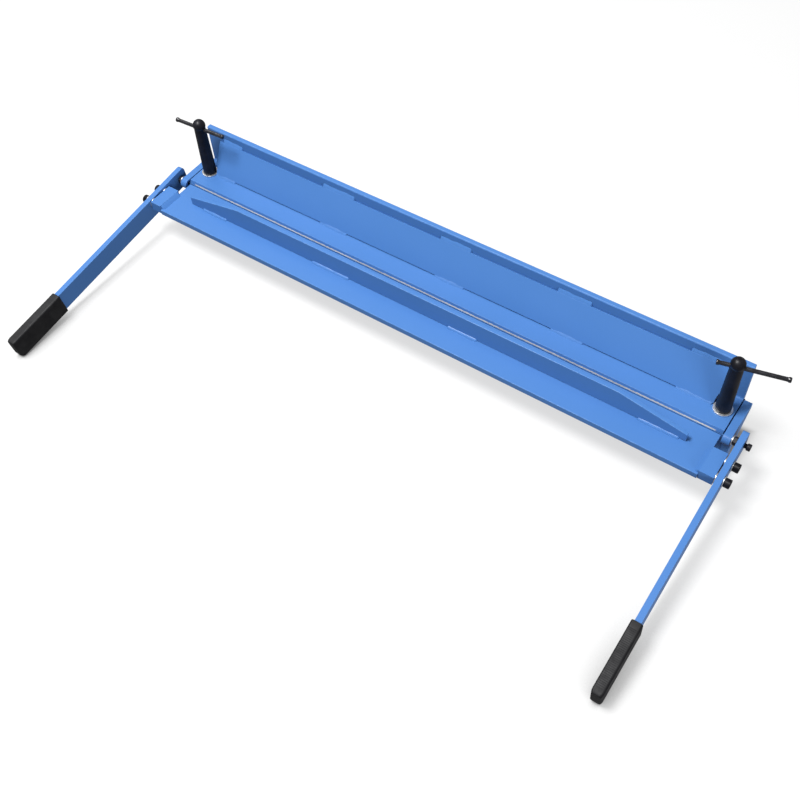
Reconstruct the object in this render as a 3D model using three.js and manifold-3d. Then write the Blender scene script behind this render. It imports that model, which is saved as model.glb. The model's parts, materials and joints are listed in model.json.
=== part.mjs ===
// Bench-top sheet metal brake.
//
// Lengths are in millimetres and +Z is up. +X runs along the bend line, -Y is the operator's side.
// The shapes are drawn in the bend frame, whose origin is the middle of the bend line: y = 0 is the
// edge that the sheet is folded against and z = 0 is the top of the bed and of the folding leaf.
// One outer group lifts everything so that the origin of the finished model is the middle of the
// underside of the base's front flange, where the machine stands on a bench.

import * as THREE from 'three';
import { mergeVertices } from 'three/addons/utils/BufferGeometryUtils.js';
import Module from 'manifold-3d';

const wasm = await Module();
wasm.setup();

// ---------------------------------------------------------------- driving dimensions

const GAP = 0.3; // clearance left between two pieces that touch
const SIDES = [{ sign: -1, tag: 'left' }, { sign: 1, tag: 'right' }];

// bed and base
const BED_HALF_LENGTH = 466.2;
const BED_FRONT_Y = 0.6;
const BED_REAR_Y = 71;
const BED_THICKNESS = 6.5;
const FLANGE_THICKNESS = 6.5;
const BENCH_Z = -69; // the bench top, under the base; the grips reach down to it too
const BED_INNER_RADIUS = 4;

// clamp beam: the jaw plate and the upright wall are one rolled angle
const BEAM_HALF_LENGTH = 464.8;
const JAW_UNDERSIDE_Z = 0.4;
const JAW_TOP_Z = 6.6;
const NOSE_LOW_Y = 0.8;
const NOSE_HIGH_Y = 2.9;
const WALL_FRONT_Y = 63.7;
const WALL_REAR_Y = 72.2;
const WALL_TOP_Z = 72;
const WALL_EDGE_BEVEL = 1.2;

// sloping stiffener panel on the beam
const PANEL_HALF_LENGTH = 438;
const PANEL_FOOT_Y = 34.1;
const PANEL_TILT_DEG = 61.6;
const PANEL_THICKNESS = 4;
const PANEL_COPE_RADIUS = 14.2; // curved relief round each clamp washer

// folding leaf
const LEAF_HALF_LENGTH = 463.5;
const LEAF_REAR_Y = -0.6;
const LEAF_FRONT_Y = -73.5;
const LEAF_THICKNESS = 9.5;
const RIB_HALF_LENGTH = 429;
const RIB_FULL_HALF_LENGTH = 328;
const RIB_FRONT_Y = -35.2;
const RIB_THICKNESS = 6;
const RIB_HEIGHT = 34;
const RIB_TIP_HEIGHT = 14;

// end blocks of the leaf
const BLOCK_INNER_X = 463.8;
const BLOCK_OUTER_X = 484;
const BLOCK_REAR_Y = -28;
const BLOCK_FRONT_Y = -72;
const BLOCK_TOP_Z = 6.6;

// end brackets of the base
const BRACKET_INNER_X = 466.5;
const BRACKET_THICKNESS = 11.5;
const BRACKET_REAR_Y = 64;
const BRACKET_REAR_DEPTH = 10;
const BRACKET_SLOPE_FOOT = { y: 20, z: -38.7 };
const BRACKET_FRONT_Y = 3;
const NOSE_RADIUS = 8.5;
const NOSE_CENTRE = { y: -0.5, z: -1.9 };

// arms, pivots and grips
const ARM_INNER_X = 486.1;
const ARM_THICKNESS = 8.6;
const ARM_WIDTH = 33;
const ARM_CENTRE_Z = -1.5;
const ARM_PITCH_DEG = 7.13; // the arms slope down to the front
const ARM_LENGTH = 378;
const ARM_REAR_Y = 14; // how far the arm reaches behind the pivot
const ARM_CORNER_RADIUS = 6;
const GRIP_REAR_Y = -287;
const GRIP_FRONT_Y = -389;
const GRIP_INNER_X = 482.5;
const GRIP_OUTER_X = 498;
const GRIP_LOW_Z = -21;
const GRIP_HIGH_Z = 16.8;
const GRIP_BEVEL = 3;
const GRIP_MOUTH_BEVEL = 1;
const PIVOT_SHANK_DIAMETER = 6.8;
const PIVOT_HOLE_DIAMETER = 7.6;
const ARM_SCREW_Y = [-36.6, -64.6];
const ARM_SCREW_Z = (BLOCK_TOP_Z - LEAF_THICKNESS) / 2; // halfway up the end block
const ARM_SCREW_DIAMETER = 8;
const ARM_SCREW_HOLE_DIAMETER = 8.8;
const ARM_SCREW_HEAD_DIAMETER = 13;
const ARM_SCREW_HEAD_HEIGHT = 8;
const ARM_SCREW_DEPTH = 14; // how far a screw reaches into the end block
const SCREW_WASHER_DIAMETER = 16;
const SCREW_WASHER_THICKNESS = 1.6;

// clamp posts
const POST_X = 448.6;
const POST_Y = 34.25;
const STUD_DIAMETER = 12;
const STUD_HOLE_DIAMETER = 12.8;
const JAW_HOLE_DIAMETER = 14;
const STUD_TOP_Z = 50;
const THRUST_WASHER_DIAMETER = 27;
const THRUST_WASHER_THICKNESS = 1.8;
const POST_BASE_DIAMETER = 21.4;
const POST_NECK_DIAMETER = 18.2;
const POST_HEAD_DIAMETER = 20;
const POST_APEX_Z = 110.7;
const TOMMY_AXIS_Z = 95.2;
const TOMMY_DIAMETER = 6;
const TOMMY_HOLE_DIAMETER = 6.8;
const TOMMY_END_DIAMETER = 7.5;
const TOMMY_LENGTH = 93;
// how each tommy bar was left: its turn from the X axis and how far it is pushed through
const TOMMY_REST = {
  left: { turnDeg: 2.9, push: 0 },
  right: { turnDeg: 13.7, push: 20 },
};

// lift springs, hung in cups under the bed
const CUP_OUTER_DIAMETER = 26;
const CUP_INNER_DIAMETER = 21;
const CUP_BOTTOM_Z = -26;
const CUP_FLOOR_THICKNESS = 3;
const BED_HOLE_DIAMETER = 20.6;
const SPRING_OUTER_DIAMETER = 19;
const SPRING_WIRE_DIAMETER = 2;
const SPRING_TURNS = 4.5;
const STUD_NUT_FLATS = 18;
const STUD_NUT_HEIGHT = 8;
const STUD_TAIL = 2.5;

// bench feet
const FOOT_X = 330;
const FOOT_WIDTH = 40;
const FOOT_THICKNESS = 6;
const FOOT_REAR_Y = 70;
const FOOT_HOLE_DIAMETER = 9;
const GUSSET_THICKNESS = 5;
const GUSSET_TOE_SETBACK = 6;
const GUSSET_TOE_HEIGHT = 8;
const GUSSET_HEAD_SETBACK = 24;

const BALL_CENTRE_Z = POST_APEX_Z - POST_HEAD_DIAMETER / 2;
const FLANGE_REAR_Y = BED_FRONT_Y + FLANGE_THICKNESS;
const BED_UNDERSIDE_Z = -BED_THICKNESS;
const CUP_TOP_Z = BED_UNDERSIDE_Z - GAP;

// ---------------------------------------------------------------- materials

const painted = (color) => new THREE.MeshStandardMaterial({ color, roughness: 0.35, metalness: 0.1 });
const MATERIALS = {
  paint: () => painted(0x3f74b8),
  blackSteel: () => new THREE.MeshStandardMaterial({ color: 0x1b1c24, roughness: 0.45, metalness: 0.6 }),
  zinc: () => new THREE.MeshStandardMaterial({ color: 0xc9ccd0, roughness: 0.35, metalness: 0.9 }),
  springSteel: () => new THREE.MeshStandardMaterial({ color: 0x8c9096, roughness: 0.4, metalness: 0.9 }),
  rubber: () => new THREE.MeshStandardMaterial({ color: 0x1d1d1f, roughness: 0.8, metalness: 0 }),
};

// ---------------------------------------------------------------- shape helpers

// A closed geometry as a solid for cutting and joining.
function toSolid(geometry) {
  const bare = geometry.index ? geometry.toNonIndexed() : geometry.clone();
  bare.deleteAttribute('normal');
  bare.deleteAttribute('uv');
  const merged = mergeVertices(bare, 1e-4);
  return new wasm.Manifold(new wasm.Mesh({
    numProp: 3,
    vertProperties: new Float32Array(merged.attributes.position.array),
    triVerts: new Uint32Array(merged.index.array),
  }));
}

function toGeometry(solid) {
  const mesh = solid.getMesh();
  const geometry = new THREE.BufferGeometry();
  geometry.setAttribute('position', new THREE.BufferAttribute(mesh.vertProperties, 3));
  geometry.setIndex(new THREE.BufferAttribute(mesh.triVerts, 1));
  return geometry;
}

function cut(geometry, ...tools) {
  const body = tools.reduce((rest, tool) => rest.subtract(toSolid(tool)), toSolid(geometry));
  return toGeometry(body);
}

function join(geometry, ...others) {
  const body = others.reduce((sum, other) => sum.add(toSolid(other)), toSolid(geometry));
  return toGeometry(body);
}

function shapeOf(points) {
  return new THREE.Shape(points.map(([u, v]) => new THREE.Vector2(u, v)));
}

function extruded(points, depth) {
  return new THREE.ExtrudeGeometry(shapeOf(points), { depth, bevelEnabled: false, steps: 1 });
}

// Profile given as (y, z) pairs, swept along X from x0 to x1.
function alongX(points, x0, x1) {
  const axes = new THREE.Matrix4().makeBasis(
    new THREE.Vector3(0, 1, 0),
    new THREE.Vector3(0, 0, 1),
    new THREE.Vector3(1, 0, 0),
  );
  return extruded(points, x1 - x0).applyMatrix4(axes).translate(x0, 0, 0);
}

// Profile given as (x, z) pairs, swept along Y from y0 to y1.
function alongY(points, y0, y1) {
  const axes = new THREE.Matrix4().makeBasis(
    new THREE.Vector3(1, 0, 0),
    new THREE.Vector3(0, 0, 1),
    new THREE.Vector3(0, -1, 0),
  );
  return extruded(points, y1 - y0).applyMatrix4(axes).translate(0, y1, 0);
}

function boxBetween(x0, x1, y0, y1, z0, z1) {
  const box = new THREE.BoxGeometry(x1 - x0, y1 - y0, z1 - z0);
  return box.translate((x0 + x1) / 2, (y0 + y1) / 2, (z0 + z1) / 2);
}

// Round bar, or a prism with the given number of flats, between x0 and x1.
function barX(diameter, x0, x1, y, z, facets = 24) {
  const bar = new THREE.CylinderGeometry(diameter / 2, diameter / 2, x1 - x0, facets);
  return bar.rotateZ(Math.PI / 2).translate((x0 + x1) / 2, y, z);
}

function barZ(diameter, z0, z1, x, y, facets = 32) {
  const bar = new THREE.CylinderGeometry(diameter / 2, diameter / 2, z1 - z0, facets);
  return bar.rotateX(Math.PI / 2).translate(x, y, (z0 + z1) / 2);
}

function acrossFlats(flats) {
  return flats / Math.cos(Math.PI / 6);
}

// Profile given as (radius, z) pairs from the axis back to the axis, turned about Z.
function turnedZ(profile, x, y, facets = 28) {
  const points = profile.map(([radius, z]) => new THREE.Vector2(radius, z));
  return new THREE.LatheGeometry(points, facets).rotateX(Math.PI / 2).translate(x, y, 0);
}

function arcPoints(centreU, centreV, radius, fromDeg, toDeg, steps) {
  return Array.from({ length: steps + 1 }, (_, i) => {
    const angle = THREE.MathUtils.degToRad(fromDeg + (toDeg - fromDeg) * i / steps);
    return [centreU + radius * Math.cos(angle), centreV + radius * Math.sin(angle)];
  });
}

function named(name, geometry, material) {
  const mesh = new THREE.Mesh(geometry, material());
  mesh.name = name;
  return mesh;
}

// ---------------------------------------------------------------- base

function baseAngle() {
  const inner = BED_INNER_RADIUS;
  const profile = [
    [BED_FRONT_Y, 0],
    [BED_FRONT_Y, BENCH_Z],
    [FLANGE_REAR_Y, BENCH_Z],
    ...arcPoints(FLANGE_REAR_Y + inner, BED_UNDERSIDE_Z - inner, inner, 180, 90, 6),
    [BED_REAR_Y, BED_UNDERSIDE_Z],
    [BED_REAR_Y, 0],
  ];
  const holes = SIDES.map(({ sign }) => (
    barZ(BED_HOLE_DIAMETER, BED_UNDERSIDE_Z - 1, 1, sign * POST_X, POST_Y)
  ));
  return cut(alongX(profile, -BED_HALF_LENGTH, BED_HALF_LENGTH), ...holes);
}

// The bracket's rounded front end wraps the pivot; behind it the plate tapers up to the rear.
function endBracket(sign) {
  const profile = [
    ...arcPoints(NOSE_CENTRE.y, NOSE_CENTRE.z, NOSE_RADIUS, 90, 270, 16),
    [BRACKET_FRONT_Y, NOSE_CENTRE.z - NOSE_RADIUS],
    [BRACKET_FRONT_Y, BENCH_Z],
    [BRACKET_SLOPE_FOOT.y, BENCH_Z],
    [BRACKET_SLOPE_FOOT.y, BRACKET_SLOPE_FOOT.z],
    [BRACKET_REAR_Y, JAW_TOP_Z - BRACKET_REAR_DEPTH],
    [BRACKET_REAR_Y, JAW_TOP_Z],
  ];
  const outer = BRACKET_INNER_X + BRACKET_THICKNESS;
  const [x0, x1] = [sign * BRACKET_INNER_X, sign * outer].sort((a, b) => a - b);
  return cut(alongX(profile, x0, x1), barX(PIVOT_HOLE_DIAMETER, x0 - 1, x1 + 1, 0, 0));
}

function benchFoot(sign) {
  const x = sign * FOOT_X;
  const half = FOOT_WIDTH / 2;
  const y0 = FLANGE_REAR_Y + GAP;
  const foot = boxBetween(x - half, x + half, y0, FOOT_REAR_Y, BENCH_Z, BENCH_Z + FOOT_THICKNESS);
  // the bolt hole stands beside the gusset, on the side of the machine's middle
  const boltX = x - sign * FOOT_WIDTH / 4;
  const boltY = (y0 + FOOT_REAR_Y) / 2;
  return cut(foot, barZ(FOOT_HOLE_DIAMETER, BENCH_Z - 1, BENCH_Z + FOOT_THICKNESS + 1, boltX, boltY));
}

function footGusset(sign) {
  const frontY = FLANGE_REAR_Y + GAP;
  const lowZ = BENCH_Z + FOOT_THICKNESS + GAP;
  const highZ = BED_UNDERSIDE_Z - GAP;
  const relief = BED_INNER_RADIUS + 2;
  const toeY = FOOT_REAR_Y - GUSSET_TOE_SETBACK;
  const headY = FOOT_REAR_Y - GUSSET_HEAD_SETBACK;
  const profile = [
    [frontY, lowZ],
    [toeY, lowZ],
    [toeY, lowZ + GUSSET_TOE_HEIGHT],
    [headY, highZ],
    [frontY + relief, highZ],
    [frontY, highZ - relief],
  ];
  const x = sign * FOOT_X;
  return alongX(profile, x - GUSSET_THICKNESS / 2, x + GUSSET_THICKNESS / 2);
}

// ---------------------------------------------------------------- clamp beam

function clampAngle() {
  const fillet = 3;
  const bevel = WALL_EDGE_BEVEL;
  const profile = [
    [NOSE_LOW_Y, JAW_UNDERSIDE_Z],
    [WALL_REAR_Y, JAW_UNDERSIDE_Z],
    [WALL_REAR_Y, WALL_TOP_Z - bevel],
    [WALL_REAR_Y - bevel, WALL_TOP_Z],
    [WALL_FRONT_Y + bevel, WALL_TOP_Z],
    [WALL_FRONT_Y, WALL_TOP_Z - bevel],
    ...arcPoints(WALL_FRONT_Y - fillet, JAW_TOP_Z + fillet, fillet, 0, -90, 5),
    [NOSE_HIGH_Y, JAW_TOP_Z],
  ];
  const holes = SIDES.map(({ sign }) => (
    barZ(JAW_HOLE_DIAMETER, JAW_UNDERSIDE_Z - 1, JAW_TOP_Z + 1, sign * POST_X, POST_Y)
  ));
  return cut(alongX(profile, -BEAM_HALF_LENGTH, BEAM_HALF_LENGTH), ...holes);
}

// Square-cut plate: its lower back edge stands on the jaw and its upper back edge meets the wall,
// so both front edges stand clear of them.
function stiffenerPanel() {
  const tilt = THREE.MathUtils.degToRad(PANEL_TILT_DEG);
  const along = { y: Math.cos(tilt), z: Math.sin(tilt) };
  const through = { y: PANEL_THICKNESS * along.z, z: -PANEL_THICKNESS * along.y };
  const foot = { y: PANEL_FOOT_Y, z: JAW_TOP_Z + GAP - through.z };
  const width = (WALL_FRONT_Y - GAP - through.y - foot.y) / along.y;
  const rim = { y: foot.y + width * along.y, z: foot.z + width * along.z };
  const profile = [
    [foot.y, foot.z],
    [foot.y + through.y, foot.z + through.z],
    [rim.y + through.y, rim.z + through.z],
    [rim.y, rim.z],
  ];
  const copes = SIDES.map(({ sign }) => (
    barZ(PANEL_COPE_RADIUS * 2, 0, WALL_TOP_Z, sign * POST_X, POST_Y)
  ));
  return cut(alongX(profile, -PANEL_HALF_LENGTH, PANEL_HALF_LENGTH), ...copes);
}

// ---------------------------------------------------------------- clamp posts

const STUD_BOTTOM_Z = CUP_BOTTOM_Z - GAP - STUD_NUT_HEIGHT - STUD_TAIL;
const THRUST_WASHER_BASE_Z = JAW_TOP_Z + GAP;
const POST_BASE_Z = THRUST_WASHER_BASE_Z + THRUST_WASHER_THICKNESS + GAP;

function clampStud(sign) {
  const radius = STUD_DIAMETER / 2;
  const profile = [
    [0, STUD_BOTTOM_Z],
    [radius - 1, STUD_BOTTOM_Z],
    [radius, STUD_BOTTOM_Z + 1],
    [radius, STUD_TOP_Z - 1],
    [radius - 1, STUD_TOP_Z],
    [0, STUD_TOP_Z],
  ];
  return turnedZ(profile, sign * POST_X, POST_Y);
}

function springCup(sign) {
  const x = sign * POST_X;
  const floorZ = CUP_BOTTOM_Z + CUP_FLOOR_THICKNESS;
  return cut(
    barZ(CUP_OUTER_DIAMETER, CUP_BOTTOM_Z, CUP_TOP_Z, x, POST_Y),
    barZ(CUP_INNER_DIAMETER, floorZ, CUP_TOP_Z + 1, x, POST_Y),
    barZ(STUD_HOLE_DIAMETER, CUP_BOTTOM_Z - 1, floorZ + 1, x, POST_Y),
  );
}

function studNut(sign) {
  const x = sign * POST_X;
  const topZ = CUP_BOTTOM_Z - GAP;
  const bottomZ = topZ - STUD_NUT_HEIGHT;
  return cut(
    barZ(acrossFlats(STUD_NUT_FLATS), bottomZ, topZ, x, POST_Y, 6),
    barZ(STUD_HOLE_DIAMETER, bottomZ - 1, topZ + 1, x, POST_Y),
  );
}

class Helix extends THREE.Curve {
  constructor(radius, height, turns) {
    super();
    this.radius = radius;
    this.height = height;
    this.turns = turns;
  }

  getPoint(t, target = new THREE.Vector3()) {
    const angle = 2 * Math.PI * this.turns * t;
    return target.set(this.radius * Math.cos(angle), this.radius * Math.sin(angle), this.height * t);
  }
}

function liftSpring(sign) {
  const wire = SPRING_WIRE_DIAMETER / 2;
  const floorZ = CUP_BOTTOM_Z + CUP_FLOOR_THICKNESS + GAP + wire;
  const topZ = JAW_UNDERSIDE_Z - GAP - wire;
  const coilRadius = (SPRING_OUTER_DIAMETER - SPRING_WIRE_DIAMETER) / 2;
  const section = shapeOf(arcPoints(0, 0, wire, 0, 300, 5));
  const path = new Helix(coilRadius, topZ - floorZ, SPRING_TURNS);
  const coil = new THREE.ExtrudeGeometry(section, {
    extrudePath: path,
    steps: 14 * SPRING_TURNS,
    bevelEnabled: false,
  });
  return coil.translate(sign * POST_X, POST_Y, floorZ);
}

function thrustWasher(sign) {
  const x = sign * POST_X;
  const topZ = THRUST_WASHER_BASE_Z + THRUST_WASHER_THICKNESS;
  return cut(
    barZ(THRUST_WASHER_DIAMETER, THRUST_WASHER_BASE_Z, topZ, x, POST_Y),
    barZ(STUD_HOLE_DIAMETER, THRUST_WASHER_BASE_Z - 1, topZ + 1, x, POST_Y),
  );
}

// Tapered round nut with a ball head, drilled across for its tommy bar.
function clampNut(sign, turnDeg) {
  const x = sign * POST_X;
  const baseRadius = POST_BASE_DIAMETER / 2;
  const neckRadius = POST_NECK_DIAMETER / 2;
  const ballRadius = POST_HEAD_DIAMETER / 2;
  const neckDrop = Math.sqrt(ballRadius ** 2 - neckRadius ** 2);
  const neckAngle = THREE.MathUtils.radToDeg(Math.atan2(-neckDrop, neckRadius));
  const body = turnedZ([
    [0, POST_BASE_Z],
    [baseRadius - 1, POST_BASE_Z],
    [baseRadius, POST_BASE_Z + 1],
    [baseRadius, POST_BASE_Z + 5],
    ...arcPoints(0, BALL_CENTRE_Z, ballRadius, neckAngle, 90, 8).slice(0, -1),
    [0, POST_APEX_Z],
  ], x, POST_Y);
  const bore = barZ(STUD_HOLE_DIAMETER, POST_BASE_Z - 1, STUD_TOP_Z + 10, x, POST_Y);
  const crossHole = barX(TOMMY_HOLE_DIAMETER, -POST_BASE_DIAMETER, POST_BASE_DIAMETER, 0, 0, 24)
    .rotateZ(THREE.MathUtils.degToRad(turnDeg))
    .translate(x, POST_Y, TOMMY_AXIS_Z);
  return cut(body, bore, crossHole);
}

// Plain bar along X whose two ends are upset so that it can't fall out of the post.
function tommyBar() {
  const half = TOMMY_LENGTH / 2;
  const upset = 4;
  const radius = TOMMY_DIAMETER / 2;
  const endRadius = TOMMY_END_DIAMETER / 2;
  const profile = [
    [0, -half],
    [endRadius - 0.8, -half],
    [endRadius, -half + 0.8],
    [endRadius, -half + upset - 1],
    [radius, -half + upset],
    [radius, half - upset],
    [endRadius, half - upset + 1],
    [endRadius, half - 0.8],
    [endRadius - 0.8, half],
    [0, half],
  ];
  return turnedZ(profile, 0, 0, 24).rotateY(Math.PI / 2);
}

// ---------------------------------------------------------------- leaf

function leafPlate() {
  return boxBetween(
    -LEAF_HALF_LENGTH, LEAF_HALF_LENGTH,
    LEAF_FRONT_Y, LEAF_REAR_Y,
    -LEAF_THICKNESS, 0,
  );
}

function leafRib() {
  const outline = [
    [-RIB_HALF_LENGTH, GAP],
    [RIB_HALF_LENGTH, GAP],
    [RIB_HALF_LENGTH, RIB_TIP_HEIGHT],
    [RIB_FULL_HALF_LENGTH, RIB_HEIGHT],
    [-RIB_FULL_HALF_LENGTH, RIB_HEIGHT],
    [-RIB_HALF_LENGTH, RIB_TIP_HEIGHT],
  ];
  return alongY(outline, RIB_FRONT_Y, RIB_FRONT_Y + RIB_THICKNESS);
}

// Where a point of the bend frame lies along and across the arm, measured from the pivot.
function inArmFrame(y, z) {
  const pitch = THREE.MathUtils.degToRad(ARM_PITCH_DEG);
  return {
    along: y * Math.cos(pitch) + z * Math.sin(pitch),
    across: z * Math.cos(pitch) - y * Math.sin(pitch),
  };
}

function endBlock(sign) {
  const [x0, x1] = [sign * BLOCK_INNER_X, sign * BLOCK_OUTER_X].sort((a, b) => a - b);
  const block = boxBetween(x0, x1, BLOCK_FRONT_Y, BLOCK_REAR_Y, -LEAF_THICKNESS, BLOCK_TOP_Z);
  const faceX = sign * BLOCK_OUTER_X;
  const endX = sign * (BLOCK_OUTER_X - ARM_SCREW_DEPTH - 1);
  const [h0, h1] = [endX, faceX + sign].sort((a, b) => a - b);
  const holes = ARM_SCREW_Y.map((y) => barX(ARM_SCREW_HOLE_DIAMETER, h0, h1, y, ARM_SCREW_Z));
  return cut(block, ...holes);
}

// Flat bar with rounded corners at the pivot end, square at the end inside the grip.
function armBar(sign) {
  const radius = ARM_CORNER_RADIUS;
  const cornerY = ARM_REAR_Y - radius;
  const lowZ = ARM_CENTRE_Z - ARM_WIDTH / 2;
  const highZ = ARM_CENTRE_Z + ARM_WIDTH / 2;
  const profile = [
    ...arcPoints(cornerY, lowZ + radius, radius, -90, 0, 6),
    ...arcPoints(cornerY, highZ - radius, radius, 0, 90, 6),
    [-ARM_LENGTH, highZ],
    [-ARM_LENGTH, lowZ],
  ];
  const [x0, x1] = [sign * ARM_INNER_X, sign * (ARM_INNER_X + ARM_THICKNESS)].sort((a, b) => a - b);
  const holes = ARM_SCREW_Y.map((y) => {
    const { along, across } = inArmFrame(y, ARM_SCREW_Z);
    return barX(ARM_SCREW_HOLE_DIAMETER, x0 - 1, x1 + 1, along, across);
  });
  const pivotHole = barX(PIVOT_HOLE_DIAMETER, x0 - 1, x1 + 1, 0, 0);
  return cut(alongX(profile, x0, x1), pivotHole, ...holes);
}

// Moulded sleeve, open at the rear, with bevelled long edges and a bevelled front end.
function grip(sign) {
  const midX = sign * (GRIP_INNER_X + GRIP_OUTER_X) / 2;
  const halfWidth = (GRIP_OUTER_X - GRIP_INNER_X) / 2;
  const bevel = GRIP_BEVEL;
  const outline = (inset) => {
    const w = halfWidth - inset;
    const low = GRIP_LOW_Z + inset;
    const high = GRIP_HIGH_Z - inset;
    return [
      [midX - w + bevel, low], [midX + w - bevel, low],
      [midX + w, low + bevel], [midX + w, high - bevel],
      [midX + w - bevel, high], [midX - w + bevel, high],
      [midX - w, high - bevel], [midX - w, low + bevel],
    ];
  };
  const sleeve = alongY(outline(0), GRIP_FRONT_Y + bevel, GRIP_REAR_Y);
  const cap = alongY(outline(bevel / 2), GRIP_FRONT_Y, GRIP_FRONT_Y + bevel + 1);
  const socket = boxBetween(
    midX - ARM_THICKNESS / 2 - GAP, midX + ARM_THICKNESS / 2 + GAP,
    -ARM_LENGTH - GAP, GRIP_REAR_Y + 1,
    ARM_CENTRE_Z - ARM_WIDTH / 2 - GAP, ARM_CENTRE_Z + ARM_WIDTH / 2 + GAP,
  );
  const mouth = boxBetween(
    midX - ARM_THICKNESS / 2 - GRIP_MOUTH_BEVEL, midX + ARM_THICKNESS / 2 + GRIP_MOUTH_BEVEL,
    GRIP_REAR_Y - GRIP_MOUTH_BEVEL, GRIP_REAR_Y + 1,
    ARM_CENTRE_Z - ARM_WIDTH / 2 - GRIP_MOUTH_BEVEL, ARM_CENTRE_Z + ARM_WIDTH / 2 + GRIP_MOUTH_BEVEL,
  );
  return cut(join(sleeve, cap), socket, mouth);
}

// ---------------------------------------------------------------- fasteners

function ring(sign, outerDiameter, holeDiameter, fromX, thickness, y, z, facets = 24) {
  const [x0, x1] = [sign * fromX, sign * (fromX + thickness)].sort((a, b) => a - b);
  return cut(
    barX(outerDiameter, x0, x1, y, z, facets),
    barX(holeDiameter, x0 - 1, x1 + 1, y, z),
  );
}

function headedScrew(sign, head, shank, y, z) {
  const span = (from, to) => [sign * from, sign * to].sort((a, b) => a - b);
  const [h0, h1] = span(head.fromX, head.fromX + head.height);
  const [s0, s1] = span(shank.toX, head.fromX + head.height / 2);
  return join(
    barX(head.diameter, h0, h1, y, z, head.facets),
    barX(shank.diameter, s0, s1, y, z),
  );
}

const ARM_OUTER_X = ARM_INNER_X + ARM_THICKNESS;
const BRACKET_OUTER_X = BRACKET_INNER_X + BRACKET_THICKNESS;
const PIVOT_WASHER = { fromX: BRACKET_OUTER_X + GAP, thickness: 1.6, diameter: 14 };
const PIVOT_NUT = {
  fromX: PIVOT_WASHER.fromX + PIVOT_WASHER.thickness + GAP,
  thickness: 5,
  flats: 11,
};
const PIVOT_HEAD = { fromX: 498.6, height: 5.4, diameter: 10, facets: 24 };
const SCREW_WASHER_FROM_X = ARM_OUTER_X + GAP;
const SCREW_HEAD_FROM_X = SCREW_WASHER_FROM_X + SCREW_WASHER_THICKNESS + GAP;
const SPACER = { fromX: BLOCK_OUTER_X + GAP, diameter: 16 };

function pivotScrew(sign) {
  const shank = { diameter: PIVOT_SHANK_DIAMETER, toX: BRACKET_INNER_X + GAP };
  return headedScrew(sign, PIVOT_HEAD, shank, 0, 0);
}

function armScrew(sign, y) {
  const head = {
    fromX: SCREW_HEAD_FROM_X,
    height: ARM_SCREW_HEAD_HEIGHT,
    diameter: ARM_SCREW_HEAD_DIAMETER,
    facets: 24,
  };
  const shank = { diameter: ARM_SCREW_DIAMETER, toX: BLOCK_OUTER_X - ARM_SCREW_DEPTH };
  return headedScrew(sign, head, shank, y, ARM_SCREW_Z);
}

// ---------------------------------------------------------------- assembly

function baseBody() {
  const group = new THREE.Group();
  group.add(named('base_angle', baseAngle(), MATERIALS.paint));
  for (const { sign, tag } of SIDES) {
    group.add(
      named(`end_bracket_${tag}`, endBracket(sign), MATERIALS.paint),
      named(`bench_foot_${tag}`, benchFoot(sign), MATERIALS.paint),
      named(`foot_gusset_${tag}`, footGusset(sign), MATERIALS.paint),
      named(`clamp_stud_${tag}`, clampStud(sign), MATERIALS.blackSteel),
      named(`spring_cup_${tag}`, springCup(sign), MATERIALS.paint),
      named(`stud_nut_${tag}`, studNut(sign), MATERIALS.zinc),
      named(`lift_spring_${tag}`, liftSpring(sign), MATERIALS.springSteel),
      named(`pivot_screw_${tag}`, pivotScrew(sign), MATERIALS.blackSteel),
      named(
        `pivot_washer_${tag}`,
        ring(sign, PIVOT_WASHER.diameter, PIVOT_HOLE_DIAMETER, PIVOT_WASHER.fromX,
          PIVOT_WASHER.thickness, 0, 0),
        MATERIALS.zinc,
      ),
      named(
        `pivot_nut_${tag}`,
        ring(sign, acrossFlats(PIVOT_NUT.flats), PIVOT_HOLE_DIAMETER, PIVOT_NUT.fromX,
          PIVOT_NUT.thickness, 0, 0, 6),
        MATERIALS.blackSteel,
      ),
    );
  }
  return group;
}

function clampBeam() {
  const group = new THREE.Group();
  group.add(
    named('clamp_angle', clampAngle(), MATERIALS.paint),
    named('stiffener_panel', stiffenerPanel(), MATERIALS.paint),
  );
  for (const { sign, tag } of SIDES) {
    group.add(named(`thrust_washer_${tag}`, thrustWasher(sign), MATERIALS.zinc));
  }
  return group;
}

function clampPosts() {
  const group = new THREE.Group();
  for (const { sign, tag } of SIDES) {
    const { turnDeg, push } = TOMMY_REST[tag];
    const turn = THREE.MathUtils.degToRad(turnDeg);
    const bar = named(`tommy_bar_${tag}`, tommyBar(), MATERIALS.blackSteel);
    bar.rotation.z = turn;
    bar.position.set(
      sign * POST_X + push * Math.cos(turn),
      POST_Y + push * Math.sin(turn),
      TOMMY_AXIS_Z,
    );
    group.add(named(`clamp_nut_${tag}`, clampNut(sign, turnDeg), MATERIALS.blackSteel), bar);
  }
  return group;
}

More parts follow.
